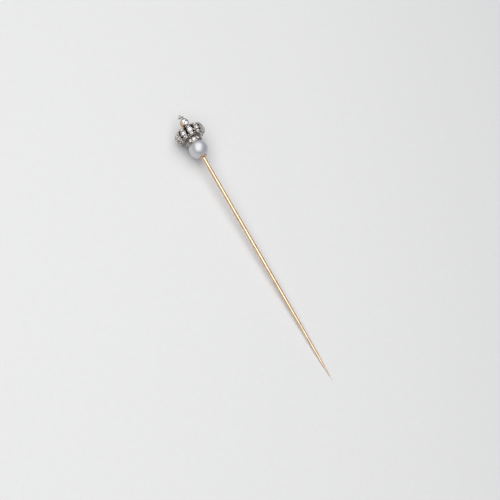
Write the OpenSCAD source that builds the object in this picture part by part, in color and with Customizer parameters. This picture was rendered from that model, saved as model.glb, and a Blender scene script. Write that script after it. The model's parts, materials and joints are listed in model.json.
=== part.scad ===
// Stick pin: a jewelled crown on a pearl, on a tapering gold pin wire.
// The head is built about the wire's axis, with the pearl's centre at zero and the crown above it.
// The whole pin is then laid down as it rests: the crown's widest settings and the wire's point
// touch z = 0, the wire runs along X, and the crown is towards +X.

/* [Pearl] */
// Diameter of the pearl
pearl_d = 5.2; // [5.0:0.1:5.4]
// Diameter of the hole drilled through the pearl
pearl_hole_d = 0.7; // [0.66:0.02:0.8]

/* [Pin wire] */
// Distance from the pearl's centre to the wire's point
stem_reach = 69.7; // [62:0.5:80]
// Diameter of the wire where it is cylindrical
stem_d = 1.04; // [1.0:0.02:1.1]
// Length of wire that keeps its full diameter
stem_straight_len = 29; // [20:1:34]

/* [Crown] */
// Number of arches
arch_count = 12; // [10:2:12]
// Diameter of the crown over the bare arches
crown_d = 8.1; // [8.0:0.1:8.5]
// Radius of the bulge of each arch, seen from the side
arch_bulge_r = 1.75; // [1.7:0.05:1.8]
// Diameter of the lower stone in each arch
lower_stone_d = 0.84; // [0.7:0.02:0.88]
// Diameter of the middle stone in each arch
middle_stone_d = 1.12; // [0.9:0.02:1.14]
// Diameter of the upper stone in each arch
upper_stone_d = 0.9; // [0.7:0.05:0.9]

/* [Circlet] */
// Number of stones round the band
circlet_count = 12; // [10:1:12]
// Diameter of the band's outer face
circlet_d = 4.2; // [4.1:0.05:4.2]
// Diameter of each stone in the band
circlet_stone_d = 0.76; // [0.6:0.02:0.78]

/* [Orb and cross] */
// Diameter of the orb over its bezel
orb_d = 2.2; // [2.0:0.1:2.3]
// Angle by which the orb's face is turned away from the show arch
orb_turn = 24; // [0:1:30]
// Angle by which the cross is turned away from the show arch
cross_turn = 12; // [0:1:30]
// Span of the cross over its grains
cross_span = 1.7; // [1.4:0.1:1.8]

/* [Hidden] */
$fn = 48;
tiny = 0.01;
fit_gap = 0.01;

gold = "goldenrod";
silver = "silver";
diamond = "aliceblue";
nacre = "seashell";

pearl_r = pearl_d / 2;
cement_gap = 0.05;
peg_r = pearl_hole_d / 2 - cement_gap;

// Wire and cup: the wire stops just under the pearl, inside the cup's floor
stem_r = stem_d / 2;
pearl_to_stem = 0.2;
cup_grip = 0.2;
taper_share = 0.46;
needle_len = 7.7;
stem_top_z = -pearl_r - pearl_to_stem;
stem_shoulder_z = stem_top_z - cup_grip - stem_straight_len;
stem_taper_z = stem_shoulder_z - (stem_reach + stem_shoulder_z) * taper_share;
stem_needle_z = -stem_reach + needle_len;
stem_taper_r = stem_r * 0.83;
stem_needle_r = stem_r * 0.62;
point_r = 0.05;
socket_depth = 1.2;
cup_r = 1.13;
cup_h = 1;
cup_bowl_r = 1.6;
cup_bottom_z = -pearl_r - 0.33;

// Circlet, seat and crown base
seat_r = 1.65;
seat_bottom_z = 1.95;
seat_top_z = 2.95;
circlet_r = circlet_d / 2;
circlet_mid_z = (seat_bottom_z + seat_top_z) / 2;
circlet_step = 360 / circlet_count;
circlet_collet_wall = 0.1;
circlet_collet_r = circlet_stone_d / 2 + circlet_collet_wall;
circlet_rim_x = circlet_r + 0.14;
circlet_girdle = 0.2;
circlet_dome = 0.14;
lower_wire_r = 0.12;
lower_wire_ring_r = circlet_r - lower_wire_r / 2;
rope_wire_r = 0.13;
base_clearance = 0.02;
base_thick = 0.18;
base_neck_top_z = seat_top_z + 2 * rope_wire_r + base_clearance;
base_top_z = base_neck_top_z + base_thick;
base_r = 3.1;
rivet_r = 0.55;
rivet_top_r = 0.33;
rivet_h = 0.22;

// Arches: the side view is an arc of the bulge, then a straight slope up to the boss
bulge_x = crown_d / 2 - arch_bulge_r;
bulge_z = 4.75;
arch_thick = 0.35;
arch_foot_angle = -60;
arch_brow_angle = 72;
arch_sections = 22;
boss_r = 0.95;
boss_h = 0.37;
boss_top_z = 6.98;
boss_bottom_z = boss_top_z - boss_h;
arch_belly_w = 1.3;
arch_top_w = 0.46;
arch_step = 360 / arch_count;
rim_proud = 0.04;
rim_w = 0.08;
wall = 0.2;
seat_floor = 0.13;
arch_girdle = 0.14;
arch_dome = 0.16;
// Each stone of an arch: its angle round the bulge and its radius
LOWER = [-40, lower_stone_d / 2];
MIDDLE = [-3, middle_stone_d / 2];
UPPER = [34, upper_stone_d / 2];

// Points between the arches: each is a leaning post with a bead, rooted a little into the base
point_base_x = 2.9;
point_root = 0.1;
point_lean = 55;
point_foot_r = 0.2;
point_neck_r = 0.12;
point_bead_r = 0.24;
point_h = 0.62;

// Orb and cross
orb_r = orb_d / 2;
orb_z = boss_top_z + orb_r + 0.04;
orb_back = orb_r + 0.1;
orb_lip = 0.8;
orb_rim_w = 0.15;
orb_rim_h = 0.3;
orb_stone_r = orb_r - orb_rim_w;
orb_culet_r = orb_stone_r * 0.11;
orb_table_r = orb_stone_r * 0.55;
orb_stone_below = 0.62;
orb_stone_above = 0.44;
orb_girdle_low = 0.04;
orb_girdle_high = 0.12;
orb_foot_r = 0.32;
cross_rise = 0.72;
cross_z = orb_z + orb_r + cross_rise;
grain_r = 0.27;
middle_grain_r = 0.23;
cross_bar = 0.32;
middle_grain_x = cross_bar / 2 + 0.1;
cross_arm = cross_span / 2 - grain_r;

// Lying at rest: the middle stones of the two lowest arches carry the crown on the steps of their
// domes, and the point touches
dome_step_share = 0.62;
dome_step_rise = 0.75;
rest_side = arch_step / 2;
carry_r = MIDDLE[1] * dome_step_share;
carry_reach = arch_bulge_r - seat_floor + arch_girdle + arch_dome * dome_step_rise;
carry_x = bulge_x + carry_reach * cos(MIDDLE[0]);
carry_z = bulge_z + carry_reach * sin(MIDDLE[0]);
carry_face_cos = cos(MIDDLE[0]) * cos(rest_side);
rest_drop = carry_x * cos(rest_side) + carry_r * sqrt(1 - pow(carry_face_cos, 2));
rest_tilt = atan((rest_drop - point_r) / (stem_reach + carry_z));
axis_height = stem_reach * sin(rest_tilt) + point_r * cos(rest_tilt);
head_top_z = cross_z + cross_arm + grain_r;
centre_x = ((head_top_z - stem_reach) / 2) * cos(rest_tilt);

function numbered(stem_name, count) = [for (i = [1:count]) str(stem_name, "_", i)];

// Lays the upright pin down: its axis goes to X, its point drops to z = 0, and it is rolled so that
// straight up is midway between two arches, the first of which is the show arch
module laid_down() {
    translate([-centre_x, 0, axis_height])
        rotate([0, -rest_tilt, 0])
        rotate([0, 90, 0])
        rotate([0, 0, 180 - rest_side])
        children();
}

// Turns a piece to one place in the ring of arches
module at_arch(index) {
    rotate([0, 0, (index - 1) * arch_step]) children();
}

// A rose-cut stone: a low girdle and a two-step dome, with its base on z = 0
module rose_cut(r, girdle, dome) {
    step_r = r * dome_step_share;
    step_z = girdle + dome * dome_step_rise;
    rotate_extrude()
        polygon([[0, 0], [r, 0], [r, girdle], [step_r, step_z], [0, girdle + dome]]);
}

// A ring of round wire about the axis
module wire_ring(ring_r, wire_r, z) {
    translate([0, 0, z])
        rotate_extrude()
        translate([ring_r, 0])
        circle(r = wire_r);
}

module stem_bar() {
    rotate_extrude()
        polygon([
            [0, stem_top_z],
            [stem_r, stem_top_z],
            [stem_r, stem_shoulder_z],
            [stem_taper_r, stem_taper_z],
            [stem_needle_r, stem_needle_z],
            [point_r, -stem_reach],
            [0, -stem_reach]
        ]);
}

module stem() {
    color(gold) laid_down() difference() {
        stem_bar();
        translate([0, 0, stem_top_z - socket_depth]) cylinder(r = peg_r, h = socket_depth + tiny);
    }
}

module pearl_cup() {
    color(gold) laid_down() difference() {
        intersection() {
            translate([0, 0, cup_bottom_z]) cylinder(r = cup_r, h = cup_h);
            translate([0, 0, cup_bottom_z + cup_bowl_r]) sphere(r = cup_bowl_r);
        }
        sphere(r = pearl_r);
        translate([0, 0, cup_bottom_z - tiny]) cylinder(r = stem_r, h = stem_top_z - cup_bottom_z + tiny);
        translate([0, 0, cup_bottom_z]) cylinder(r = peg_r, h = cup_h);
    }
}

// The peg fills the wire's socket, passes the cup, pearl, seat and base, and is riveted on top
module pearl_peg() {
    peg_bottom_z = stem_top_z - socket_depth;
    color(gold) laid_down() {
        translate([0, 0, peg_bottom_z]) cylinder(r = peg_r, h = base_top_z - peg_bottom_z + rivet_h);
        translate([0, 0, base_top_z]) cylinder(r1 = rivet_r, r2 = rivet_top_r, h = rivet_h);
    }
}

module pearl() {
    color(nacre) laid_down() difference() {
        sphere(r = pearl_r);
        translate([0, 0, -pearl_r - tiny]) cylinder(d = pearl_hole_d, h = pearl_d + 2 * tiny);
    }
}

module crown_seat() {
    color(gold) laid_down() difference() {
        translate([0, 0, seat_bottom_z]) cylinder(r = seat_r, h = seat_top_z - seat_bottom_z);
        sphere(r = pearl_r);
        cylinder(r = peg_r, h = seat_top_z + tiny);
    }
}

module circlet_ring() {
    for (i = [1:circlet_count])
        rotate([0, 0, i * circlet_step])
            translate([0, 0, circlet_mid_z])
            rotate([0, 90, 0])
            children();
}

module circlet_band() {
    band_h = seat_top_z - seat_bottom_z;
    color(silver) laid_down() difference() {
        union() {
            translate([0, 0, seat_bottom_z]) cylinder(r = circlet_r, h = band_h);
            circlet_ring() cylinder(r = circlet_collet_r, h = circlet_rim_x);
        }
        translate([0, 0, seat_bottom_z - tiny]) cylinder(r = seat_r, h = band_h + 2 * tiny);
        circlet_ring() translate([0, 0, circlet_r - seat_floor])
            cylinder(r = circlet_stone_d / 2 + fit_gap, h = circlet_r);
    }
}

module circlet_lower_wire() {
    color(silver) laid_down()
        wire_ring(lower_wire_ring_r, lower_wire_r, seat_bottom_z - lower_wire_r);
}

module circlet_rope_wire() {
    color(silver) laid_down()
        wire_ring(circlet_r + rope_wire_r, rope_wire_r, seat_top_z + rope_wire_r);
}

module circlet_stones() {
    color(diamond) laid_down()
        circlet_ring() translate([0, 0, circlet_r - seat_floor])
            rose_cut(circlet_stone_d / 2, circlet_girdle, circlet_dome);
}

// The neck fits inside the rope wire, and the disc above it carries the arches and points
module base_solid() {
    translate([0, 0, seat_top_z]) cylinder(r = circlet_r, h = base_top_z - seat_top_z);
    translate([0, 0, base_neck_top_z]) cylinder(r = base_r, h = base_top_z - base_neck_top_z);
}

module crown_base() {
    color(silver) laid_down() difference() {
        base_solid();
        translate([0, 0, seat_top_z - tiny]) cylinder(r = peg_r, h = base_top_z);
    }
}

module points() {
    color(silver) laid_down() difference() {
        for (i = [1:arch_count])
            at_arch(i + 0.5)
                translate([point_base_x, 0, base_top_z - point_root])
                rotate([0, point_lean, 0]) {
                    cylinder(r1 = point_foot_r, r2 = point_neck_r, h = point_h);
                    translate([0, 0, point_h]) sphere(r = point_bead_r);
                }
        base_solid();
    }
}

// Places children on one arch's outer face, at an angle round the bulge, facing outwards
module on_bulge(angle, reach) {
    translate([bulge_x, 0, bulge_z])
        rotate([0, 90 - angle, 0])
        translate([0, 0, reach])
        children();
}

function bulge_point(angle, r) = [bulge_x + r * cos(angle), bulge_z + r * sin(angle)];
function slope_z(angle, r, x) = let (p = bulge_point(angle, r)) p[1] + (p[0] - x) * cos(angle) / sin(angle);

// The side view of an arch: outer arc and slope, then back along the inner face
module arch_side() {
    outer_r = arch_bulge_r;
    inner_r = arch_bulge_r - arch_thick;
    steps = arch_sections;
    span = arch_brow_angle - arch_foot_angle;
    angles = [for (i = [0:steps]) arch_foot_angle + span * i / steps];
    polygon(concat(
        [for (a = angles) bulge_point(a, outer_r)],
        [[0, slope_z(arch_brow_angle, outer_r, 0)], [0, slope_z(arch_brow_angle, inner_r, 0)]],
        [for (i = [steps:-1:0]) bulge_point(angles[i], inner_r)]
    ));
}

// The plan view of an arch: a strip that widens steadily from the boss to the crown's widest
module arch_plan() {
    belly_x = crown_d / 2;
    polygon([
        [0, -arch_top_w / 2],
        [boss_r, -arch_top_w / 2],
        [belly_x, -arch_belly_w / 2],
        [crown_d, -arch_belly_w / 2],
        [crown_d, arch_belly_w / 2],
        [belly_x, arch_belly_w / 2],
        [boss_r, arch_top_w / 2],
        [0, arch_top_w / 2]
    ]);
}

module arch(index) {
    color(silver) laid_down() at_arch(index) difference() {
        union() {
            intersection() {
                translate([0, crown_d / 2, 0]) rotate([90, 0, 0]) linear_extrude(crown_d) arch_side();
                linear_extrude(crown_d) arch_plan();
            }
            for (s = [LOWER, MIDDLE, UPPER])
                on_bulge(s[0], arch_bulge_r - arch_thick) {
                    cylinder(r = s[1] + wall, h = arch_thick);
                    cylinder(r = s[1] + rim_w, h = arch_thick + rim_proud);
                }
        }
        for (s = [LOWER, MIDDLE, UPPER])
            on_bulge(s[0], arch_bulge_r - seat_floor) cylinder(r = s[1] + fit_gap, h = arch_bulge_r);
        base_solid();
        cylinder(r = boss_r, h = crown_d);
    }
}

// One stone of an arch
module arch_stone(index, place) {
    color(diamond) laid_down() at_arch(index)
        on_bulge(place[0], arch_bulge_r - seat_floor) rose_cut(place[1], arch_girdle, arch_dome);
}

module upper_stones() {
    for (i = [1:arch_count]) arch_stone(i, UPPER);
}

module top_boss() {
    color(silver) laid_down() difference() {
        translate([0, 0, boss_bottom_z]) cylinder(r = boss_r, h = boss_top_z - boss_bottom_z);
        translate([0, 0, boss_bottom_z - tiny]) cylinder(r = orb_foot_r, h = boss_h + 2 * tiny);
    }
}

// The orb's own axis, with +Z as the way its stone faces
module orb_frame() {
    translate([0, 0, orb_z]) rotate([0, 0, orb_turn]) rotate([0, 90, 0]) children();
}

// The outside of the collet: a round-backed cup with a straight lip
module orb_shell(r, back) {
    intersection() {
        union() {
            sphere(r = r);
            cylinder(r = r, h = orb_lip);
        }
        translate([0, 0, -back]) cylinder(r = 2 * r, h = back + orb_lip);
    }
}

module orb_collet() {
    post_h = orb_z - orb_r - boss_bottom_z + orb_foot_r;
    color(gold) laid_down() difference() {
        union() {
            orb_frame() orb_shell(orb_r, orb_back);
            translate([0, 0, boss_bottom_z]) cylinder(r = orb_foot_r, h = post_h);
        }
        orb_frame() cylinder(r1 = orb_stone_r / 2, r2 = orb_stone_r + fit_gap, h = orb_lip + tiny);
    }
}

module orb_bezel() {
    color(silver) laid_down() orb_frame() translate([0, 0, orb_lip]) difference() {
        cylinder(r = orb_r, h = orb_rim_h);
        translate([0, 0, -tiny]) cylinder(r = orb_stone_r + fit_gap, h = orb_rim_h + 2 * tiny);
    }
}

module orb_stone() {
    color(diamond) laid_down() orb_frame() translate([0, 0, orb_lip]) rotate_extrude()
        polygon([
            [0, -orb_stone_below],
            [orb_culet_r, -orb_stone_below],
            [orb_stone_r, orb_girdle_low],
            [orb_stone_r, orb_girdle_high],
            [orb_table_r, orb_stone_above],
            [0, orb_stone_above]
        ]);
}

module grains() {
    for (place = [[-cross_arm, 0], [cross_arm, 0], [0, cross_arm]])
        translate([0, place[0], cross_z + place[1]]) sphere(r = grain_r);
    translate([middle_grain_x, 0, cross_z]) sphere(r = middle_grain_r);
}

module cross_bars() {
    post_h = cross_z + cross_arm - orb_z;
    translate([-cross_bar / 2, -cross_bar / 2, orb_z]) cube([cross_bar, cross_bar, post_h]);
    translate([-cross_bar / 2, -cross_arm, cross_z - cross_bar / 2])
        cube([cross_bar, 2 * cross_arm, cross_bar]);
}

// The foot of the cross is cut to sit on the round of the orb
module cross() {
    color(silver) laid_down() difference() {
        rotate([0, 0, cross_turn]) difference() {
            cross_bars();
            grains();
        }
        orb_frame() orb_shell(orb_r, orb_back);
    }
}

module cross_grains() {
    color(silver) laid_down() rotate([0, 0, cross_turn]) grains();
}

stem();
pearl_cup();
pearl_peg();
pearl();
crown_seat();
circlet_band();
circlet_lower_wire();
circlet_rope_wire();
circlet_stones();
crown_base();
points();
top_boss();
orb_collet();
orb_bezel();
orb_stone();
cross();
cross_grains();
upper_stones();
for (i = [1:arch_count]) {
    arch(i);
    arch_stone(i, LOWER);
    arch_stone(i, MIDDLE);
}
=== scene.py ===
"""A jewelled stick pin's looks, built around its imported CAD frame.

Every piece is worked out in the head's own frame, in millimetres: the pearl's centre is zero, +Z runs up
the pin's axis through the crown, and +X is the side that faces up as the pin lies. HEAD takes that frame
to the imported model's, in metres.
"""

import json
import math

import bpy
import numpy as np
from mathutils import Matrix, Vector


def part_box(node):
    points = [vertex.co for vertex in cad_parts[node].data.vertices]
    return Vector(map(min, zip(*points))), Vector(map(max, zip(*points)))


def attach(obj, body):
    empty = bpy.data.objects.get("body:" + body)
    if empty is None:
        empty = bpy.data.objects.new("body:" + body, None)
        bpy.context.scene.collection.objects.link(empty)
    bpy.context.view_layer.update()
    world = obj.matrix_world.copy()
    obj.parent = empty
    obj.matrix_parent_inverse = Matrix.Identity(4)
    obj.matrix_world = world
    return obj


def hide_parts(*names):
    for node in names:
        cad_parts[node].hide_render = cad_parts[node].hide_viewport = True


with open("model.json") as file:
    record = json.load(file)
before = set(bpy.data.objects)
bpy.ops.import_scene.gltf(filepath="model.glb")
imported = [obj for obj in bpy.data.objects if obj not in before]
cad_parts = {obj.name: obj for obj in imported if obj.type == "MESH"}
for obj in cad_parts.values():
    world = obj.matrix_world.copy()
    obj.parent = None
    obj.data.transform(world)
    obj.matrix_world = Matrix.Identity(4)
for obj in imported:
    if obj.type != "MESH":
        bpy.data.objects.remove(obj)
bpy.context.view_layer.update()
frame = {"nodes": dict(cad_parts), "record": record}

# ------------------------------------------------------------------ the head's own frame

MM = 0.001
ARCHES = 12
STEP = 2 * math.pi / ARCHES


def head_matrix():
    """From the head's frame, in millimetres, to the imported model's, in metres.

    The pin rests on two arches, so its front, the show arch, is half a step from straight up.
    """
    mount = frame["record"]["mounts"][0]
    point = Vector(mount["pos_m"])
    up = -Vector(mount["axis"]).normalized()
    low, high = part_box("pearl")
    centre = point + up * ((low + high) / 2 - point).dot(up)
    side = Vector((0, -1, 0))
    front = side.cross(up)
    turn = Matrix((front, side, up)).transposed().to_4x4() @ Matrix.Rotation(-STEP / 2, 4, "Z")
    return Matrix.Translation(centre) @ turn @ Matrix.Scale(MM, 4)


HEAD = head_matrix()
TO_HEAD = np.array(HEAD.inverted())


def head_points(node):
    """A CAD node's vertices in the head's frame."""
    points = np.array([v.co for v in frame["nodes"][node].data.vertices], float)
    return points @ TO_HEAD[:3, :3].T + TO_HEAD[:3, 3]


def reach_of(node):
    """A CAD node's largest radius about the pin's axis, and its lowest and highest point along it."""
    points = head_points(node)
    radius = np.hypot(points[:, 0], points[:, 1]).max()
    return float(radius), float(points[:, 2].min()), float(points[:, 2].max())


# ------------------------------------------------------------------ sizes: pearl, peg, wire and cup

PEARL_R = float(np.linalg.norm(head_points("pearl"), axis=1).max())
PEARL_HOLE_R = 0.35
# the pearl's surface rises and falls in two slow waves, whose directions are the columns here
PEARL_UNEVEN = 0.003
PEARL_WAVES = np.array(((0.9, -0.4), (0.5, 1.1), (0.7, 0.3)))
PEARL_WAVE_START = 0.6

CEMENT_GAP = 0.05
PEG_R = PEARL_HOLE_R - CEMENT_GAP
RIVET_R, PEG_BOTTOM_Z, RIVET_TOP_Z = reach_of("pearl_peg")
RIVET_TOP_R = RIVET_R * 0.6

# the wire is straight above its shoulder; below it come a slow taper, a faster one and the needle
STEM_R, STEM_POINT_Z, STEM_TOP_Z = reach_of("stem")
STRAIGHT_LEN = 29.2
NEEDLE_LEN = 7.7
TAPER_SHARE = 0.46
TAPER_R = STEM_R * 0.83
NEEDLE_R = STEM_R * 0.62
POINT_R = 0.05
POINT_ROUND = 1.2
STEM_SHOULDER_Z = STEM_TOP_Z - STRAIGHT_LEN
STEM_TAPER_Z = STEM_SHOULDER_Z + (STEM_POINT_Z - STEM_SHOULDER_Z) * TAPER_SHARE
STEM_NEEDLE_Z = STEM_POINT_Z + NEEDLE_LEN

CUP_R, CUP_BOTTOM_Z, _ = reach_of("pearl_cup")
CUP_BOWL_R = 1.6
CUP_GAP = 0.004
CUP_ROLL_R = 0.075
SOLDER_W = 0.14
SOLDER_H = 0.22
# the solder's hollow curve, as shares of its width and height
SOLDER_CURVE = ((0.0, 1.0), (0.2, 0.5), (0.5, 0.2))

# ------------------------------------------------------------------ sizes: circlet and crown base

# the band is a ring on the seat, and its stones' short settings stand out from it
SEAT_R = 1.65
_, BAND_BOTTOM_Z, BAND_TOP_Z = reach_of("circlet_band")
BAND_MID_Z = (BAND_BOTTOM_Z + BAND_TOP_Z) / 2
BAND_R = 2.1
BAND_EDGE = 0.04
BAND_STONES = 12
BAND_STONE_R = 0.38
BAND_STONE_CROWN = 0.13
BAND_STONE_SUNK = 0.01
BAND_SETTING_H = 0.12
BAND_RIM_W = 0.1
BAND_RIM_PROUD = 0.03
BAND_GRAIN_R = 0.11
BAND_GRAIN_SIDE = 0.28

LOWER_WIRE_R = 0.12
ROPE_R = 0.13
ROPE_TWISTS = 26
ROPE_STEPS_PER_TWIST = 20

BASE_R, _, BASE_TOP_Z = reach_of("crown_base")
BASE_THICK = 0.18
BASE_EDGE = 0.08

# ------------------------------------------------------------------ sizes: points and arches

# a point's stalk starts a little below the base's top, at POINT_X, and leans outward
POINT_X = 2.9
POINT_ROOT = 0.1
POINT_LEAN = math.radians(55)
POINT_H = 0.62
POINT_FOOT_R = 0.2
POINT_NECK_R = 0.12
POINT_NECK_SHARE = 0.7
POINT_BEAD_R = 0.24

# an arch's outer face is an arc about (BULGE_X, BULGE_Z) from its foot up to its brow, and then a
# straight slope to the boss
BULGE_X = 2.3
BULGE_Z = 4.75
BULGE_R = 1.75
BULGE_STEPS = 72
BROW_STEPS = 8
FOOT_ANGLE = math.radians(-54)
BROW_ANGLE = math.radians(72)
ARCH_THICK = 0.35
ARCH_CAMBER = 0.06
BELLY_W = 1.3
TOP_W = 0.46
WALL = 0.2
BOSS_BITE = 0.04
# each stone's place round the bulge, and its radius
STONE_PLACES = {
    "lower": (math.radians(-40), 0.42),
    "middle": (math.radians(-3), 0.56),
    "upper": (math.radians(34), 0.45),
}
RIM_W = 0.09
RIM_PROUD = 0.04
LOOSE = math.radians(6)
ARCH_STONE_CROWN = 0.15
ARCH_STONE_LIFT = 0.01
ARCH_GRAIN_R = 0.085
ARCH_GRAIN_SIDE = 0.36
ARCH_GRAIN_LIFT = 0.01

# ------------------------------------------------------------------ sizes: boss, orb and cross

BOSS_R, BOSS_BOTTOM_Z, BOSS_TOP_Z = reach_of("top_boss")
BOSS_EDGE = 0.08
BOSS_LEDGE_H = 0.05
BOSS_LEDGE_R = BOSS_R * 0.72
BOSS_COLLAR_R = BOSS_R * 0.66

# the orb is half a ball with a straight lip; heights on it are measured from its middle towards its
# stone's face
ORB_TURN = math.radians(24)
ORB_R = 1.1
ORB_GAP = 0.04
ORB_Z = BOSS_TOP_Z + ORB_R + ORB_GAP
ORB_LIP = 0.8
ORB_LIP_EDGE = 0.05
ORB_WELL_Z = 0.05
ORB_FOOT_R = 0.32
ORB_FOOT_FLARE = 0.12
ORB_FOOT_FLARE_H = 0.1
ORB_FOOT_TOP_Z = ORB_Z - ORB_R * 0.8
ORB_STONE_R = 0.95
ORB_WELL_R = ORB_STONE_R * 0.3
ORB_STONE_CROWN = 0.29
ORB_STONE_TABLE = 0.48
ORB_STONE_CULET = 0.12
ORB_STONE_LIFT = 0.14
ORB_STONE_TURN = 0.3
BEZEL_SIDE_H = 0.18
BEZEL_TOP_H = 0.27
BEZEL_LAP_H = 0.2
BEZEL_TOP_W = 0.03
BEZEL_LAP = 0.05
MILL_BEADS = 44
MILL_BEAD_R = 0.058
MILL_RING_W = 0.07
MILL_LIFT = 0.22

CROSS_TURN = math.radians(12)
CROSS_RISE = 0.72
CROSS_Z = ORB_Z + ORB_R + CROSS_RISE
CROSS_ROOT_Z = ORB_Z + ORB_R * 0.96
CROSS_ARM = 0.58
CROSS_BAR = 0.32
# how an arm swells: shares of its length, and of its bar's half width there
CROSS_SWELL = ((0.0, 0.85), (0.5, 0.9), (0.85, 1.0), (1.0, 0.9))
GRAIN_R = 0.27
MIDDLE_GRAIN_R = 0.23
MIDDLE_GRAIN_LIFT = 0.1

# ------------------------------------------------------------------ sizes: any stone's cut and setting

# a stone's size in its seat, as a share of it
STONE_FIT = 0.98
ARCH_STONE_FIT = 0.96
# shares of a stone's radius: the corners of its star and lower facets, its table and its culet
STAR_R = 0.77
LOWER_R = 0.3
TABLE = 0.5
CULET = 0.1
GIRDLE = 0.03
PAVILION_ANGLE = math.radians(40.8)

# the well cut for a stone: its depth and its tip's radius are shares of the stone's radius
WELL_DEEP = 0.9
WELL_TIP = 0.16
WELL_LIP = 0.02
WAY_IN = 1.0
# the closed back of a setting: how thick it is, and how deep in the strap it starts
BACK_WALL = 0.05
BACK_START = 0.2

# the rolled edge round a stone: its laps are shares of the stone's radius
RIM_DEEP = 0.12
RIM_CROWN = 0.015
RIM_LAP = 0.94
RIM_UNDER_LAP = 0.96
SLIT = 0.01

# ------------------------------------------------------------------ mesh helpers

METAL, FOIL, LINING = range(3)


def moved(x=0.0, y=0.0, z=0.0):
    """A place shifted along the axes."""
    m = np.eye(4)
    m[:3, 3] = (x, y, z)
    return m


def turned(axis, angle):
    """A place turned about an axis through the origin."""
    return np.array(Matrix.Rotation(angle, 4, axis))


def at_arch(index):
    """The place of one arch in the ring, or of the gap beside it for a half index."""
    return turned("Z", (index - 1) * STEP)


def on_bulge(angle, reach):
    """A place on an arch's outer face, with +Z as the way it faces."""
    return moved(BULGE_X, 0, BULGE_Z) @ turned("Y", math.pi / 2 - angle) @ moved(z=reach)


class Shape:
    """Vertices, faces and each face's paint gathered for one piece, in the head's frame."""

    def __init__(self):
        self.points = []
        self.faces = []
        self.paints = []

    def add(self, points, faces, place=None, paint=METAL):
        """Adds a mesh, moved to its place, in one paint or in a list of one for each face."""
        points = np.asarray(points, float)
        if place is not None:
            points = points @ place[:3, :3].T + place[:3, 3]
        start = len(self.points)
        self.points.extend(points.tolist())
        self.faces.extend(tuple(start + i for i in f) for f in faces)
        self.paints.extend(paint if isinstance(paint, list) else [paint] * len(faces))


def rounded(corners, radius, steps=4, closed=False):
    """A line of 2-D points with each corner rounded off; a radius per corner may be given."""
    count = len(corners)
    radii = radius if hasattr(radius, "__len__") else [radius] * count
    line = []
    for i, corner in enumerate(corners):
        here = np.array(corner, float)
        if not closed and i in (0, count - 1):
            line.append(tuple(here))
            continue
        before = np.array(corners[i - 1], float) - here
        after = np.array(corners[(i + 1) % count], float) - here
        # a corner takes less than half of each side, so that two never meet
        cut = min(radii[i], np.linalg.norm(before) * 0.45, np.linalg.norm(after) * 0.45)
        if cut <= 0:
            line.append(tuple(here))
            continue
        a = here + before / np.linalg.norm(before) * cut
        b = here + after / np.linalg.norm(after) * cut
        for k in range(steps + 1):
            t = k / steps
            line.append(tuple((1 - t) ** 2 * a + 2 * t * (1 - t) * here + t * t * b))
    return line


def lathe(profile, steps, closed=False):
    """Turns a line of (radius, z) about Z. Points with no radius become single poles."""
    points, faces, rings = [], [], []
    turns = np.arange(steps) * 2 * math.pi / steps
    for r, z in profile:
        if r < 1e-6:
            rings.append([len(points)])
            points.append((0, 0, z))
        else:
            rings.append(list(range(len(points), len(points) + steps)))
            points.extend((r * math.cos(a), r * math.sin(a), z) for a in turns)
    pairs = list(zip(rings, rings[1:] + rings[:1])) if closed else list(zip(rings, rings[1:]))
    for low, high in pairs:
        for k in range(steps):
            n = (k + 1) % steps
            quad = [low[k % len(low)], low[n % len(low)], high[n % len(high)], high[k % len(high)]]
            face = [v for j, v in enumerate(quad) if v != quad[j - 1]]
            if len(face) > 2:
                faces.append(face)
    return points, faces


def loft(sections, closed=False):
    """Joins rings of points, all of one length, with end caps unless the row of rings is closed."""
    count, size = len(sections), len(sections[0])
    points = [p for s in sections for p in s]
    faces = []
    for i in range(count if closed else count - 1):
        j = (i + 1) % count
        for k in range(size):
            n = (k + 1) % size
            faces.append((i * size + k, i * size + n, j * size + n, j * size + k))
    if not closed:
        faces.append(tuple(reversed(range(size))))
        faces.append(tuple(range((count - 1) * size, count * size)))
    return points, faces


def wire_ring(ring_r, z, wire_r, steps, sides):
    """A ring of round wire about the pin's axis."""
    circle = [2 * math.pi * k / sides for k in range(sides)]
    profile = [(ring_r + wire_r * math.cos(a), z + wire_r * math.sin(a)) for a in circle]
    return lathe(profile, steps, closed=True)


def strand(ring_r, z, core_r, wire_r, phase):
    """One strand of a twisted rope ring: a wire that winds about the ring's own centreline."""
    steps = ROPE_TWISTS * ROPE_STEPS_PER_TWIST
    turns = [2 * math.pi * i / steps for i in range(steps)]
    circle = [2 * math.pi * k / 10 for k in range(10)]
    line = []
    for a in turns:
        b = ROPE_TWISTS * a + phase
        r = ring_r + core_r * math.cos(b)
        line.append(np.array((r * math.cos(a), r * math.sin(a), z + core_r * math.sin(b))))
    sections = []
    for i, a in enumerate(turns):
        along = line[(i + 1) % steps] - line[i - 1]
        along /= np.linalg.norm(along)
        out = np.array((math.cos(a), math.sin(a), 0))
        out -= along * (out @ along)
        out /= np.linalg.norm(out)
        up = np.cross(along, out)
        sections.append([line[i] + wire_r * (out * math.cos(c) + up * math.sin(c)) for c in circle])
    return loft(sections, closed=True)


def ball(radius, rings=12, steps=24):
    """A bead."""
    angles = [math.pi * i / rings - math.pi / 2 for i in range(rings + 1)]
    return lathe([(radius * math.cos(a), radius * math.sin(a)) for a in angles], steps)


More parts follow.
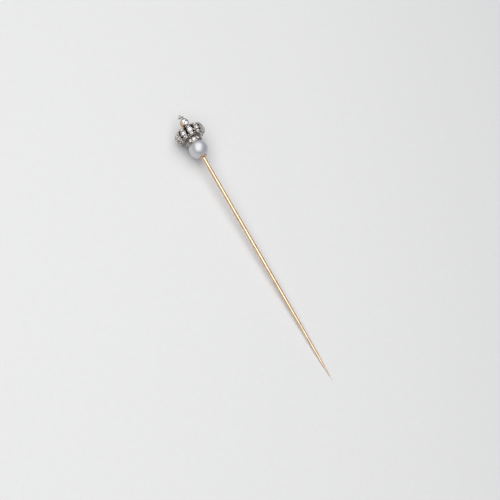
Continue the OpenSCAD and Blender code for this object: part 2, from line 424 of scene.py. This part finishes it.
def brilliant(radius, crown, table=TABLE, culet=CULET):
    """An old brilliant cut about Z, with the top of its girdle at z = 0."""
    half = math.cos(math.pi / 8)
    pavilion = radius * (1 - culet) * math.tan(PAVILION_ANGLE)
    star_z = crown * (1 - STAR_R * half) / (1 - table)
    lower_z = -GIRDLE - pavilion * (1 - LOWER_R * half) / (1 - culet)
    # each ring of corners: how many, turned by what share of a step, radius share and height
    rings = [
        (8, 0.0, table, crown),
        (8, 0.5, STAR_R, star_z),
        (16, 0.0, 1.0, 0.0),
        (16, 0.0, 1.0, -GIRDLE),
        (8, 0.5, LOWER_R, lower_z),
        (8, 0.0, culet, -GIRDLE - pavilion),
    ]
    points, start = [], []
    for count, offset, r, z in rings:
        start.append(len(points))
        for k in range(count):
            a = 2 * math.pi * (k + offset) / count
            points.append((radius * r * math.cos(a), radius * r * math.sin(a), z))
    top, star, girdle_top, girdle_low, lower, bottom = start
    faces = [tuple(range(top, top + 8)), tuple(reversed(range(bottom, bottom + 8)))]
    for k in range(8):
        n, before = (k + 1) % 8, (k - 1) % 8
        here, middle, there = 2 * k, 2 * k + 1, (2 * k + 2) % 16
        faces.append((top + k, star + k, top + n))
        faces.append((top + k, star + before, girdle_top + here, star + k))
        faces.append((star + k, girdle_top + here, girdle_top + middle))
        faces.append((star + k, girdle_top + middle, girdle_top + there))
        faces.append((bottom + k, lower + k, girdle_low + here, lower + before))
        faces.append((lower + k, girdle_low + middle, girdle_low + here))
        faces.append((lower + k, girdle_low + there, girdle_low + middle))
        faces.append((bottom + k, bottom + n, lower + k))
    for k in range(16):
        n = (k + 1) % 16
        faces.append((girdle_low + k, girdle_low + n, girdle_top + n, girdle_top + k))
    return points, faces


def stone_well(stone_r):
    """What is cut away for a stone: its pavilion with a little air round it, and the way in above."""
    deep = stone_r * WELL_DEEP
    profile = [
        (0, -deep),
        (stone_r * WELL_TIP, -deep),
        (stone_r, -WELL_LIP),
        (stone_r, WAY_IN),
        (0, WAY_IN),
    ]
    return lathe(profile, 32)


def rim(stone_r, width, proud):
    """The rolled edge that holds a stone: it laps over the girdle and slopes away outside."""
    outline = [
        (stone_r + SLIT, -RIM_DEEP),
        (stone_r + width, -RIM_DEEP),
        (stone_r + width, proud * 0.4),
        (stone_r + width * 0.4, proud + RIM_CROWN),
        (stone_r * RIM_LAP, proud),
        (stone_r * RIM_UNDER_LAP, SLIT),
    ]
    softened = rounded(outline, [0.01, 0.02, 0.05, 0.05, 0.03, 0.01], steps=3, closed=True)
    return lathe(softened, 40, closed=True)


def back_cup(stone_r):
    """The closed back of a setting, which shows inside the crown."""
    deep = stone_r * WELL_DEEP + BACK_WALL
    outline = [
        (0, -deep),
        (stone_r * 0.3, -deep),
        (stone_r * 0.75, -deep * 0.8),
        (stone_r * 0.9, -BACK_START),
    ]
    return lathe(rounded(outline, 0.06), 28)


def piece(name, shape, paints, nodes, sharp=35.0, flat=False):
    """Makes one piece from a shape, in place on the root body, standing for its CAD nodes."""
    mesh = bpy.data.meshes.new(name)
    mesh.from_pydata(shape.points, [], shape.faces)
    mesh.validate()
    mesh.transform(HEAD)
    if flat:
        mesh.shade_flat()
    else:
        mesh.shade_smooth()
        mesh.set_sharp_from_angle(angle=math.radians(sharp))
    for paint in paints:
        mesh.materials.append(paint)
    mesh.polygons.foreach_set("material_index", shape.paints)
    obj = bpy.data.objects.new(name, mesh)
    bpy.context.scene.collection.objects.link(obj)
    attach(obj, "root")
    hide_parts(*nodes)
    return obj


def carved(solid, cutter):
    """A shape with another cut out of it. Cut faces keep the cutter's paints."""
    made = []
    for shape in (solid, cutter):
        mesh = bpy.data.meshes.new("carving")
        mesh.from_pydata(shape.points, [], shape.faces)
        for _ in SETTING:
            mesh.materials.append(None)
        mesh.polygons.foreach_set("material_index", shape.paints)
        obj = bpy.data.objects.new("carving", mesh)
        bpy.context.scene.collection.objects.link(obj)
        made.append(obj)
    cut = made[0].modifiers.new("cut", "BOOLEAN")
    cut.operation = "DIFFERENCE"
    cut.solver = "EXACT"
    cut.object = made[1]
    bpy.context.view_layer.update()
    result = made[0].evaluated_get(bpy.context.evaluated_depsgraph_get()).data
    points = [tuple(v.co) for v in result.vertices]
    faces = [tuple(f.vertices) for f in result.polygons]
    shape = Shape()
    shape.add(points, faces, None, [f.material_index for f in result.polygons])
    for obj in made:
        bpy.data.objects.remove(obj)
    return shape


# ------------------------------------------------------------------ materials


class Paint:
    """A node material with a Principled shader and short ways to add what drives it."""

    def __init__(self, name, **settings):
        self.material = bpy.data.materials.new(name)
        self.material.use_nodes = True
        self.tree = self.material.node_tree
        self.shader = self.tree.nodes["Principled BSDF"]
        self.place = self.tree.nodes.new("ShaderNodeTexCoord").outputs["Object"]
        for key, value in settings.items():
            self.shader.inputs[key.replace("_", " ")].default_value = value

    def node(self, kind, links=(), **values):
        """A new node with its properties set and its sockets fed."""
        made = self.tree.nodes.new(kind)
        for key, value in values.items():
            setattr(made, key, value)
        for socket, source in dict(links).items():
            self.feed(made.inputs[socket], source)
        return made

    def feed(self, socket, source):
        """Links a socket to another node's output, or sets it to a value."""
        if isinstance(source, bpy.types.NodeSocket):
            self.tree.links.new(source, socket)
        else:
            socket.default_value = source

    def drive(self, key, source):
        """Links one of the shader's sockets to a node's output."""
        self.tree.links.new(source, self.shader.inputs[key])

    def stretched(self, scale):
        """The place in the object, stretched by a scale on each axis."""
        return self.node("ShaderNodeMapping", {"Vector": self.place, "Scale": scale}).outputs["Vector"]

    def noise(self, size_mm, detail=4.0, roughness=0.55, place=None):
        """Noise from 0 to 1 with features of a size in millimetres."""
        links = {
            "Vector": place or self.place,
            "Scale": 1.0 / (size_mm * MM),
            "Detail": detail,
            "Roughness": roughness,
        }
        return self.node("ShaderNodeTexNoise", links).outputs["Fac"]

    def ranged(self, value, low, high, to_low=0.0, to_high=1.0):
        """A value's range mapped onto another, and kept inside it."""
        links = {"Value": value, "From Min": low, "From Max": high, "To Min": to_low, "To Max": to_high}
        return self.node("ShaderNodeMapRange", links).outputs["Result"]

    def joined(self, operation, a, b):
        """Two values joined by a math operation."""
        return self.node("ShaderNodeMath", {0: a, 1: b}, operation=operation).outputs[0]

    def mixed(self, share, a, b):
        """Two colours mixed by a share."""
        made = self.node("ShaderNodeMix", {0: share, 6: rgb(a), 7: rgb(b)}, data_type="RGBA")
        return made.outputs[2]

    def crevice(self, distance_mm):
        """0 in the open and 1 deep in a corner."""
        links = {"Distance": distance_mm * MM}
        made = self.node("ShaderNodeAmbientOcclusion", links, samples=6)
        return self.ranged(made.outputs["AO"], 0.1, 0.65, 1.0, 0.0)

    def bump(self, height, depth_mm):
        """Bumps the surface by a height from 0 to 1, times a depth in millimetres."""
        links = {"Height": height, "Distance": depth_mm * MM, "Strength": 1.0}
        self.drive("Normal", self.node("ShaderNodeBump", links).outputs["Normal"])


def rgb(colour):
    """A colour with its alpha; what is already a socket's output stays as it is."""
    return colour if isinstance(colour, bpy.types.NodeSocket) else (*colour, 1.0)


def gold_paint(name, bright, deep, corner, rough):
    """Polished gold with soft colour patches, fine draw lines along the wire, and brown painted shade in the
    corners.
    """
    p = Paint(name, Metallic=1.0)
    metal = p.mixed(p.ranged(p.noise(1.6), 0.35, 0.65), bright, deep)
    # the corners are darkened towards the third colour as painted shade
    p.drive("Base Color", p.mixed(p.crevice(0.5), metal, corner))
    lines = p.noise(0.05, detail=2.0, place=p.stretched((0.03, 1.0, 1.0)))
    wear = p.noise(0.5, detail=6.0)
    p.drive("Roughness", p.ranged(wear, 0.3, 0.7, *rough))
    p.bump(p.joined("ADD", lines, wear), 0.0025)
    return p.material


def silver_paint():
    """Old silver, a little warm: bright where it stands proud, dark and rough with oxide in fine recesses
    and with painted shade inside the crown.
    """
    p = Paint("aged_silver", Metallic=1.0)
    metal = p.mixed(p.ranged(p.noise(0.9), 0.35, 0.65), (0.63, 0.58, 0.53), (0.47, 0.42, 0.375))
    mottle = p.noise(0.25, detail=6.0, roughness=0.7)
    spots = p.ranged(mottle, 0.52, 0.8, 0.0, 0.4)
    # the 0.25 mm reach darkens fine recesses as oxide; the 3 mm reach darkens the crown's inside and the
    # gaps between parts as painted shade
    oxide_and_painted_shade = p.joined("MAXIMUM", p.crevice(0.25), p.crevice(3.0))
    dark = p.joined("MAXIMUM", oxide_and_painted_shade, spots)
    # this near-black serves the oxide, the tarnish spots and the painted shade
    p.drive("Base Color", p.mixed(dark, metal, (0.085, 0.062, 0.048)))
    p.drive("Roughness", p.ranged(dark, 0.0, 1.0, 0.3, 0.55))
    p.bump(mottle, 0.012)
    return p.material


def foil_paint():
    """The bright foil that lines the settings under the stones, with some grime on it."""
    p = Paint("foil", Metallic=1.0)
    crinkle = p.noise(0.12, detail=3.0)
    grime = p.ranged(p.noise(0.5, detail=3.0), 0.42, 0.6)
    p.drive("Base Color", p.mixed(grime, (0.80, 0.80, 0.81), (0.34, 0.33, 0.32)))
    p.drive("Roughness", p.ranged(crinkle, 0.3, 0.7, 0.1, 0.25))
    p.bump(crinkle, 0.004)
    return p.material


def lining_paint():
    """The backs of the settings: worn gilding over a near-black ground that is partly tarnish and partly
    painted shade for the crown's dark inside.
    """
    p = Paint("gilding_over_painted_shade", Metallic=1.0)
    worn = p.ranged(p.noise(0.6, detail=6.0, roughness=0.65), 0.42, 0.62)
    # the near-black ground is partly tarnish and partly painted shade
    p.drive("Base Color", p.mixed(worn, (0.34, 0.20, 0.10), (0.07, 0.045, 0.03)))
    p.drive("Roughness", p.ranged(worn, 0.0, 1.0, 0.3, 0.6))
    p.bump(worn, 0.008)
    return p.material


def diamond_paint():
    """Clear stone, very slightly grey."""
    p = Paint("diamond", Roughness=0.0, IOR=2.42, Transmission_Weight=1.0)
    p.feed(p.shader.inputs["Base Color"], rgb((0.93, 0.93, 0.94)))
    return p.material


def pearl_paint():
    """Nacre: silvery white with faint warm and cool drifts, a soft deep lustre and a rosy sheen."""
    p = Paint(
        "nacre",
        Metallic=0.45,
        Roughness=0.38,
        Coat_Weight=0.5,
        Coat_Roughness=0.28,
        Sheen_Weight=0.3,
        Sheen_Roughness=0.35,
        Sheen_Tint=rgb((1.0, 0.72, 0.68)),
    )
    drift = p.ranged(p.noise(3.0, detail=2.0), 0.35, 0.65)
    p.drive("Base Color", p.mixed(drift, (0.65, 0.645, 0.66), (0.57, 0.595, 0.655)))
    p.bump(p.noise(0.22, detail=5.0), 0.002)
    return p.material


def floor_paint():
    """A plain pale sheet with a faint grain."""
    p = Paint("pale_floor", Roughness=0.7)
    p.drive("Base Color", p.mixed(p.noise(1.5, detail=5.0), (0.80, 0.79, 0.78), (0.84, 0.83, 0.82)))
    return p.material


# each gold's third colour is the painted shade in its corners
GOLD = gold_paint("stem_gold", (0.89, 0.67, 0.45), (0.76, 0.51, 0.31), (0.20, 0.09, 0.04), (0.16, 0.28))
ROSY = gold_paint("rosy_gold", (0.74, 0.52, 0.34), (0.60, 0.39, 0.23), (0.13, 0.06, 0.03), (0.2, 0.36))
SILVER = silver_paint()
FOIL_BRIGHT = foil_paint()
GILT_OVER_PAINTED_SHADE = lining_paint()
DIAMOND = diamond_paint()
NACRE = pearl_paint()
SETTING = [SILVER, FOIL_BRIGHT, GILT_OVER_PAINTED_SHADE]

# ------------------------------------------------------------------ the wire, cup, peg and pearl


def make_stem():
    """The wire: straight under the pearl, then thinner in three long tapers to a rounded point."""
    tip = [
        (POINT_R * math.sin(a), STEM_POINT_Z + POINT_R * (1 - math.cos(a)))
        for a in np.linspace(0, POINT_ROUND, 4)
    ]
    outline = [
        (POINT_R, STEM_POINT_Z + POINT_R),
        (NEEDLE_R, STEM_NEEDLE_Z),
        (TAPER_R, STEM_TAPER_Z),
        (STEM_R, STEM_SHOULDER_Z),
        (STEM_R, STEM_TOP_Z),
        (0, STEM_TOP_Z),
    ]
    shape = Shape()
    shape.add(*lathe(tip + rounded(outline, [0, 1.5, 3.0, 3.0, 0.03, 0], steps=6), 64))
    piece("pin_wire", shape, [GOLD], ["stem"])


def make_cup():
    """A shallow bowl under the pearl, with a wire rolled round its rim and solder round the pin wire."""
    bowl_z = CUP_BOTTOM_Z + CUP_BOWL_R
    neck_r = STEM_R + SOLDER_W
    outside = [(r, bowl_z - math.sqrt(CUP_BOWL_R ** 2 - r * r)) for r in np.linspace(neck_r, CUP_R, 13)]
    inside = [(r, -math.sqrt((PEARL_R + CUP_GAP) ** 2 - r * r)) for r in np.linspace(CUP_R, STEM_R, 9)]
    neck_z = outside[0][1]
    solder = [(STEM_R + SOLDER_W * out, neck_z - SOLDER_H * down) for out, down in SOLDER_CURVE]
    roll_x = CUP_R - CUP_ROLL_R
    roll_z = -math.sqrt((PEARL_R + CUP_ROLL_R) ** 2 - roll_x ** 2)
    shape = Shape()
    shape.add(*lathe(solder + outside + inside, 64, closed=True))
    shape.add(*wire_ring(roll_x, roll_z, CUP_ROLL_R, 64, 14))
    piece("pearl_bowl", shape, [ROSY], ["pearl_cup"])


def make_peg():
    """The peg that holds the pearl and the crown on the wire, hammered over on the crown's floor."""
    outline = [
        (0, PEG_BOTTOM_Z),
        (PEG_R, PEG_BOTTOM_Z),
        (PEG_R, BASE_TOP_Z),
        (RIVET_R, BASE_TOP_Z),
        (RIVET_TOP_R, RIVET_TOP_Z),
        (0, RIVET_TOP_Z),
    ]
    shape = Shape()
    shape.add(*lathe(rounded(outline, [0, 0.02, 0.02, 0.05, 0.15, 0]), 40))
    piece("riveted_peg", shape, [GOLD], ["pearl_peg"])


def make_pearl():
    """A drilled sphere that is a touch uneven, as a natural pearl is."""
    edge = math.acos(PEARL_HOLE_R / PEARL_R)
    profile = [(PEARL_R * math.cos(a), PEARL_R * math.sin(a)) for a in np.linspace(-edge, edge, 97)]
    points, faces = lathe(profile, 128, closed=True)
    points = np.array(points)
    waves = points @ PEARL_WAVES
    swell = np.sin(waves[:, 0] + PEARL_WAVE_START) * np.sin(waves[:, 1])
    points *= (1 - PEARL_UNEVEN * (1 + swell))[:, None]
    shape = Shape()
    shape.add(points, faces)
    piece("pearl_nacre", shape, [NACRE], ["pearl"], sharp=60)


# ------------------------------------------------------------------ the circlet


def band_place(index):
    """The face of one of the band's settings, or of the gap beside it for a half index."""
    turn = turned("Z", index * 2 * math.pi / BAND_STONES)
    return turn @ moved(z=BAND_MID_Z) @ turned("Y", math.pi / 2) @ moved(z=BAND_R + BAND_SETTING_H)


def make_circlet():
    """A band with a short round setting for each stone, and a pair of grains between each two."""
    outline = [
        (SEAT_R, BAND_BOTTOM_Z),
        (BAND_R, BAND_BOTTOM_Z),
        (BAND_R, BAND_TOP_Z),
        (SEAT_R, BAND_TOP_Z),
    ]
    band, wells, stones = Shape(), Shape(), Shape()
    band.add(*lathe(rounded(outline, BAND_EDGE, closed=True), 144, closed=True))
    places = [band_place(i) for i in range(1, BAND_STONES + 1)]
    stone = brilliant(BAND_STONE_R * STONE_FIT, BAND_STONE_CROWN)
    for place in places:
        wells.add(*stone_well(BAND_STONE_R), place, FOIL)
        stones.add(*stone, place @ moved(z=-BAND_STONE_SUNK))
    band = carved(band, wells)
    for i, place in enumerate(places):
        band.add(*rim(BAND_STONE_R, BAND_RIM_W, BAND_RIM_PROUD), place)
        for side in (-BAND_GRAIN_SIDE, BAND_GRAIN_SIDE):
            band.add(*ball(BAND_GRAIN_R, 8, 14), band_place(i + 0.5) @ moved(x=side, z=-BAND_SETTING_H))
    piece("circlet_settings", band, SETTING, ["circlet_band"])
    piece("circlet_diamonds", stones, [DIAMOND], ["circlet_stones"], flat=True)


def make_wires():
    """The plain wire under the band, and the rope of two strands above it."""
    lower = Shape()
    lower.add(*wire_ring(BAND_R - LOWER_WIRE_R / 2, BAND_BOTTOM_Z - LOWER_WIRE_R, LOWER_WIRE_R, 144, 12))
    piece("lower_wire", lower, [SILVER], ["circlet_lower_wire"])
    rope = Shape()
    for phase in (0.0, math.pi):
        rope.add(*strand(BAND_R + ROPE_R, BAND_TOP_Z + ROPE_R, ROPE_R / 2, ROPE_R / 2, phase))
    piece("rope_wire", rope, [SILVER], ["circlet_rope_wire"])


# ------------------------------------------------------------------ the crown


def make_base():
    """A neck inside the rope wire, and above it the round-edged disc that carries the arches."""
    under = BASE_TOP_Z - BASE_THICK
    outline = [
        (0, BAND_TOP_Z),
        (BAND_R, BAND_TOP_Z),
        (BAND_R, under),
        (BASE_R, under),
        (BASE_R, BASE_TOP_Z),
        (0, BASE_TOP_Z),
    ]
    shape = Shape()
    shape.add(*lathe(rounded(outline, [0, 0.02, 0.03, BASE_EDGE, BASE_EDGE, 0]), 128))
    piece("crown_floor", shape, [SILVER], ["crown_base"])


def make_points():
    """A bead on a short leaning stalk between each two arches."""
    outline = [
        (0, 0),
        (POINT_FOOT_R, 0),
        (POINT_NECK_R, POINT_H * POINT_NECK_SHARE),
        (POINT_NECK_R, POINT_H),
        (0, POINT_H),
    ]
    stalk = lathe(rounded(outline, 0.04), 20)
    shape = Shape()
    for i in range(1, ARCHES + 1):
        foot = at_arch(i + 0.5) @ moved(POINT_X, 0, BASE_TOP_Z - POINT_ROOT) @ turned("Y", POINT_LEAN)
        shape.add(*stalk, foot)
        shape.add(*ball(POINT_BEAD_R, 14, 24), foot @ moved(z=POINT_H))
    piece("point_beads", shape, [SILVER], ["points"])


def arch_line():
    """Points of an arch's outer face, the way each faces, and how far along the arch it is."""
    line = []
    for a in np.linspace(FOOT_ANGLE, BROW_ANGLE, BULGE_STEPS + 1):
        line.append((BULGE_X + BULGE_R * math.cos(a), BULGE_Z + BULGE_R * math.sin(a), a, BULGE_R * a))
    brow_x, brow_z, _, brow_run = line[-1]
    slope = (brow_x - BOSS_R + BOSS_BITE) / math.sin(BROW_ANGLE)
    for t in np.linspace(0, slope, BROW_STEPS + 1)[1:]:
        x, z = brow_x - t * math.sin(BROW_ANGLE), brow_z + t * math.cos(BROW_ANGLE)
        line.append((x, z, BROW_ANGLE, brow_run + t))
    return line


def strap_half(x, run):
    """Half the strap's width: narrow at the boss, wide on the bulge, and scalloped round each stone."""
    share = (max(x, BOSS_R) - BOSS_R) / (BULGE_X + BULGE_R - BOSS_R)
    half = (TOP_W + (BELLY_W - TOP_W) * share) / 2
    for angle, r in STONE_PLACES.values():
        away = abs(run - BULGE_R * angle)
        if away < r + WALL:
            half = max(half, math.sqrt((r + WALL) ** 2 - away ** 2))
    return half


def arch_strap():
    """The bent strap of one arch, cut out under its stones. Its back has the lining's paint."""
    edge_steps = 3
    sections = []
    for x, z, facing, run in arch_line():
        half = strap_half(x, run)
        outline = [
            (-half, -ARCH_THICK),
            (half, -ARCH_THICK),
            (half, -ARCH_CAMBER),
            (0, 0),
            (-half, -ARCH_CAMBER),
        ]
        outline = rounded(outline, [0.05, 0.05, 0.08, 0.2, 0.08], steps=edge_steps, closed=True)
        out_x, out_z = math.cos(facing), math.sin(facing)
        sections.append([(x + v * out_x, u, z + v * out_z) for u, v in outline])
    points, faces = loft(sections)
    # the outline starts with its two back corners, so these are its first sides
    back_sides = 2 * (edge_steps + 1) - 1
    around = len(sections[0])
    strap, wells = Shape(), Shape()
    strap.add(points, faces, None, [LINING if f % around < back_sides else METAL for f in range(len(faces))])
    for angle, r in STONE_PLACES.values():
        wells.add(*stone_well(r), on_bulge(angle, BULGE_R), FOIL)
    return carved(strap, wells)


def arch_grain_places():
    """Where an arch's grains stand: a pair between each two stones."""
    stones = list(STONE_PLACES.values())
    places = []
    for (low, low_r), (high, high_r) in zip(stones, stones[1:]):
        between = (low * high_r + high * low_r) / (low_r + high_r)
        for side in (-ARCH_GRAIN_SIDE, ARCH_GRAIN_SIDE):
            places.append(on_bulge(between, BULGE_R + ARCH_GRAIN_LIFT) @ moved(y=side))
    return places


def make_arches():
    """Each arch with its rims, backs and grains, and its three stones, which sit a little unevenly."""
    strap = arch_strap()
    grains = arch_grain_places()
    loose = np.random.default_rng(5)
    upper = Shape()
    for i in range(1, ARCHES + 1):
        metal = Shape()
        metal.add(strap.points, strap.faces, at_arch(i), strap.paints)
        for name, (angle, r) in STONE_PLACES.items():
            face = at_arch(i) @ on_bulge(angle, BULGE_R)
            metal.add(*rim(r, RIM_W, RIM_PROUD), face)
            metal.add(*back_cup(r), face, LINING)
            tilt = turned("X", loose.uniform(-LOOSE, LOOSE)) @ turned("Y", loose.uniform(-LOOSE, LOOSE))
            stone = upper if name == "upper" else Shape()
            spin = turned("Z", i)
            lift = moved(z=ARCH_STONE_LIFT)
            stone.add(*brilliant(r * ARCH_STONE_FIT, ARCH_STONE_CROWN), face @ tilt @ spin @ lift)
            if name != "upper":
                piece(f"{name}_diamond_{i}", stone, [DIAMOND], [f"{name}_stone_{i}"], flat=True)
        for grain in grains:
            metal.add(*ball(ARCH_GRAIN_R, 8, 14), at_arch(i) @ grain)
        piece(f"set_arch_{i}", metal, SETTING, [f"arch_{i}"])
    piece("upper_diamonds", upper, [DIAMOND], ["upper_stones"], flat=True)


# ------------------------------------------------------------------ the boss, orb and cross


def orb_place():
    """The orb's middle, with +Z as the way its stone faces."""
    return moved(z=ORB_Z) @ turned("Z", ORB_TURN) @ turned("Y", math.pi / 2)


def make_boss():
    """The disc in which the arches meet, with a low collar under the orb's foot."""
    outline = [
        (0, BOSS_BOTTOM_Z),
        (BOSS_R, BOSS_BOTTOM_Z),
        (BOSS_R, BOSS_TOP_Z - BOSS_EDGE),
        (BOSS_LEDGE_R, BOSS_TOP_Z - BOSS_LEDGE_H),
        (BOSS_COLLAR_R, BOSS_TOP_Z),
        (0, BOSS_TOP_Z),
    ]
    shape = Shape()
    shape.add(*lathe(rounded(outline, [0, BOSS_EDGE, BOSS_EDGE, 0.03, 0.03, 0]), 64))
    piece("crown_boss", shape, [SILVER], ["top_boss"])


def make_orb_cup():
    """The orb's round gold back, with foil in the well under its stone, and its foot."""
    steps = 72
    back = [(ORB_R * math.sin(a), -ORB_R * math.cos(a)) for a in np.linspace(0, math.pi / 2, 20)]
    lip = [(ORB_R, ORB_LIP - ORB_LIP_EDGE), (ORB_R - ORB_LIP_EDGE, ORB_LIP), (ORB_STONE_R, ORB_LIP)]
    well = [(ORB_WELL_R, ORB_WELL_Z), (0, ORB_WELL_Z)]
    points, faces = lathe(back + lip + well, steps)
    well_start = len(points) - (steps + 1)
    metal = Shape()
    metal.add(points, faces, orb_place(), [FOIL if max(f) >= well_start else METAL for f in faces])
    foot = [
        (0, BOSS_BOTTOM_Z),
        (ORB_FOOT_R, BOSS_BOTTOM_Z),
        (ORB_FOOT_R, ORB_FOOT_TOP_Z - ORB_FOOT_FLARE_H),
        (ORB_FOOT_R + ORB_FOOT_FLARE, ORB_FOOT_TOP_Z),
        (0, ORB_FOOT_TOP_Z),
    ]
    metal.add(*lathe(rounded(foot, 0.04), 40))
    piece("orb_cup", metal, [ROSY, FOIL_BRIGHT], ["orb_collet"])


def make_orb_bezel():
    """The silver rim that holds the orb's stone, with a milled ring of beads."""
    outline = [
        (ORB_STONE_R, ORB_LIP),
        (ORB_R, ORB_LIP),
        (ORB_R, ORB_LIP + BEZEL_SIDE_H),
        (ORB_STONE_R + BEZEL_TOP_W, ORB_LIP + BEZEL_TOP_H),
        (ORB_STONE_R - BEZEL_LAP, ORB_LIP + BEZEL_LAP_H),
    ]
    bezel = Shape()
    bezel.add(*lathe(rounded(outline, 0.04, closed=True), 96, closed=True), orb_place())
    for i in range(MILL_BEADS):
        around = turned("Z", 2 * math.pi * i / MILL_BEADS)
        spot = around @ moved(x=ORB_STONE_R + MILL_RING_W, z=ORB_LIP + MILL_LIFT)
        bezel.add(*ball(MILL_BEAD_R, 6, 10), orb_place() @ spot)
    piece("orb_milled_bezel", bezel, [SILVER], ["orb_bezel"])


def make_orb_stone():
    """The large old-cut stone that faces out of the orb."""
    stone = Shape()
    cut = brilliant(ORB_STONE_R * STONE_FIT, ORB_STONE_CROWN, ORB_STONE_TABLE, ORB_STONE_CULET)
    stone.add(*cut, orb_place() @ moved(z=ORB_LIP + ORB_STONE_LIFT) @ turned("Z", ORB_STONE_TURN))
    piece("orb_diamond", stone, [DIAMOND], ["orb_stone"], flat=True)


def cross_bar(length):
    """A bar along +Z from the middle that swells towards its end."""
    sections = []
    for share, grow in CROSS_SWELL:
        h = CROSS_BAR / 2 * grow
        outline = rounded([(-h, -h), (h, -h), (h, h), (-h, h)], h / 2, steps=3, closed=True)
        sections.append([(x, y, length * share) for x, y in outline])
    return loft(sections)


def make_cross():
    """Three arms and a longer foot that stands in the orb, with a grain on each arm and in the middle."""
    middle = turned("Z", CROSS_TURN) @ moved(z=CROSS_Z)
    metal = Shape()
    metal.add(*cross_bar(CROSS_ARM), middle)
    metal.add(*cross_bar(CROSS_ARM), middle @ turned("X", math.pi / 2))
    metal.add(*cross_bar(CROSS_ARM), middle @ turned("X", -math.pi / 2))
    metal.add(*cross_bar(CROSS_Z - CROSS_ROOT_Z), middle @ turned("X", math.pi))
    piece("cross_bars", metal, [SILVER], ["cross"])

    grains = Shape()
    for y, z in ((-CROSS_ARM, 0), (CROSS_ARM, 0), (0, CROSS_ARM)):
        grains.add(*ball(GRAIN_R, 16, 28), middle @ moved(0, y, z))
    grains.add(*ball(MIDDLE_GRAIN_R, 14, 24), middle @ moved(x=CROSS_BAR / 2 + MIDDLE_GRAIN_LIFT))
    piece("cross_beads", grains, [SILVER], ["cross_grains"])


make_stem()
make_cup()
make_peg()
make_pearl()
make_circlet()
make_wires()
make_base()
make_points()
make_arches()
make_boss()
make_orb_cup()
make_orb_bezel()
make_orb_stone()
make_cross()

seat = frame["nodes"]["crown_seat"].data
seat.materials.clear()
seat.materials.append(GOLD)

# ------------------------------------------------------------------ floor, camera and light

# the camera's direction from the head: its turn about the pin, its dip towards the point, and the
# pin's lean in the picture; then the spot it looks at, in the head's frame
CAMERA_TURN = math.radians(-8.45)
CAMERA_DIP = math.radians(10.43)
CAMERA_DISTANCE = 253.5
PIN_LEAN = math.radians(29.94)
LOOK_DOWN = -30.34
LOOK_SIDE = (-0.223, -1.513)
LENS = 70.7

FLOOR_HALF = 0.8

# the key light, in metres and watts, with its direction from the head along the camera's axes
KEY_WIDTH = 0.5
KEY_HEIGHT = 0.8
KEY_POWER = 2.25
KEY_DISTANCE = 0.35
KEY_BACK, KEY_UP, KEY_RIGHT = 0.93, 0.37, 0.05
KEY_COLOUR = (0.98, 0.99, 1.0)
SKY_COLOUR = (0.75, 0.78, 0.84)
SKY_STRENGTH = 0.2


def make_floor():
    """The plain pale surface that the pin lies on."""
    mesh = bpy.data.meshes.new("floor")
    corners = [(x * FLOOR_HALF, y * FLOOR_HALF, 0) for x, y in ((-1, -1), (1, -1), (1, 1), (-1, 1))]
    mesh.from_pydata(corners, [], [(0, 1, 2, 3)])
    mesh.materials.append(floor_paint())
    floor = bpy.data.objects.new("floor", mesh)
    bpy.context.scene.collection.objects.link(floor)


def camera_axes():
    """Right, up and back of the camera in the model's frame, from its turn and dip about the pin."""
    back = Vector((
        math.cos(CAMERA_DIP) * math.cos(CAMERA_TURN),
        math.cos(CAMERA_DIP) * math.sin(CAMERA_TURN),
        -math.sin(CAMERA_DIP),
    ))
    pin = Vector((0, 0, 1))
    along = (pin - back * pin.dot(back)).normalized()
    across = along.cross(back)
    up = along * math.cos(PIN_LEAN) + across * math.sin(PIN_LEAN)
    right = up.cross(back)
    turn = HEAD.to_3x3().normalized()
    return turn @ right, turn @ up, turn @ back


def make_camera():
    """The camera, aimed at a spot beside the wire's middle."""
    right, up, back = camera_axes()
    target = HEAD @ Vector((*LOOK_SIDE, LOOK_DOWN))
    data = bpy.data.cameras.new("camera")
    data.lens = LENS
    camera = bpy.data.objects.new("camera", data)
    turn = Matrix((right, up, back)).transposed().to_4x4()
    camera.matrix_world = Matrix.Translation(target + back * CAMERA_DISTANCE * MM) @ turn
    bpy.context.scene.collection.objects.link(camera)
    bpy.context.scene.camera = camera


def make_light():
    """A tall soft box above the camera, and a dim even sky."""
    right, up, back = camera_axes()
    data = bpy.data.lights.new("key", "AREA")
    data.shape = "RECTANGLE"
    data.size = KEY_WIDTH
    data.size_y = KEY_HEIGHT
    data.energy = KEY_POWER
    data.color = KEY_COLOUR
    lamp = bpy.data.objects.new("key", data)
    facing = (back * KEY_BACK + up * KEY_UP + right * KEY_RIGHT).normalized()
    across = up.cross(facing).normalized()
    turn = Matrix((across, facing.cross(across), facing)).transposed().to_4x4()
    lamp.matrix_world = Matrix.Translation(HEAD.translation + facing * KEY_DISTANCE) @ turn
    bpy.context.scene.collection.objects.link(lamp)

    world = bpy.data.worlds.new("studio")
    world.use_nodes = True
    sky = world.node_tree.nodes["Background"]
    sky.inputs["Color"].default_value = rgb(SKY_COLOUR)
    sky.inputs["Strength"].default_value = SKY_STRENGTH
    bpy.context.scene.world = world


bpy.context.scene.view_settings.view_transform = "Standard"
make_floor()
make_camera()
make_light()
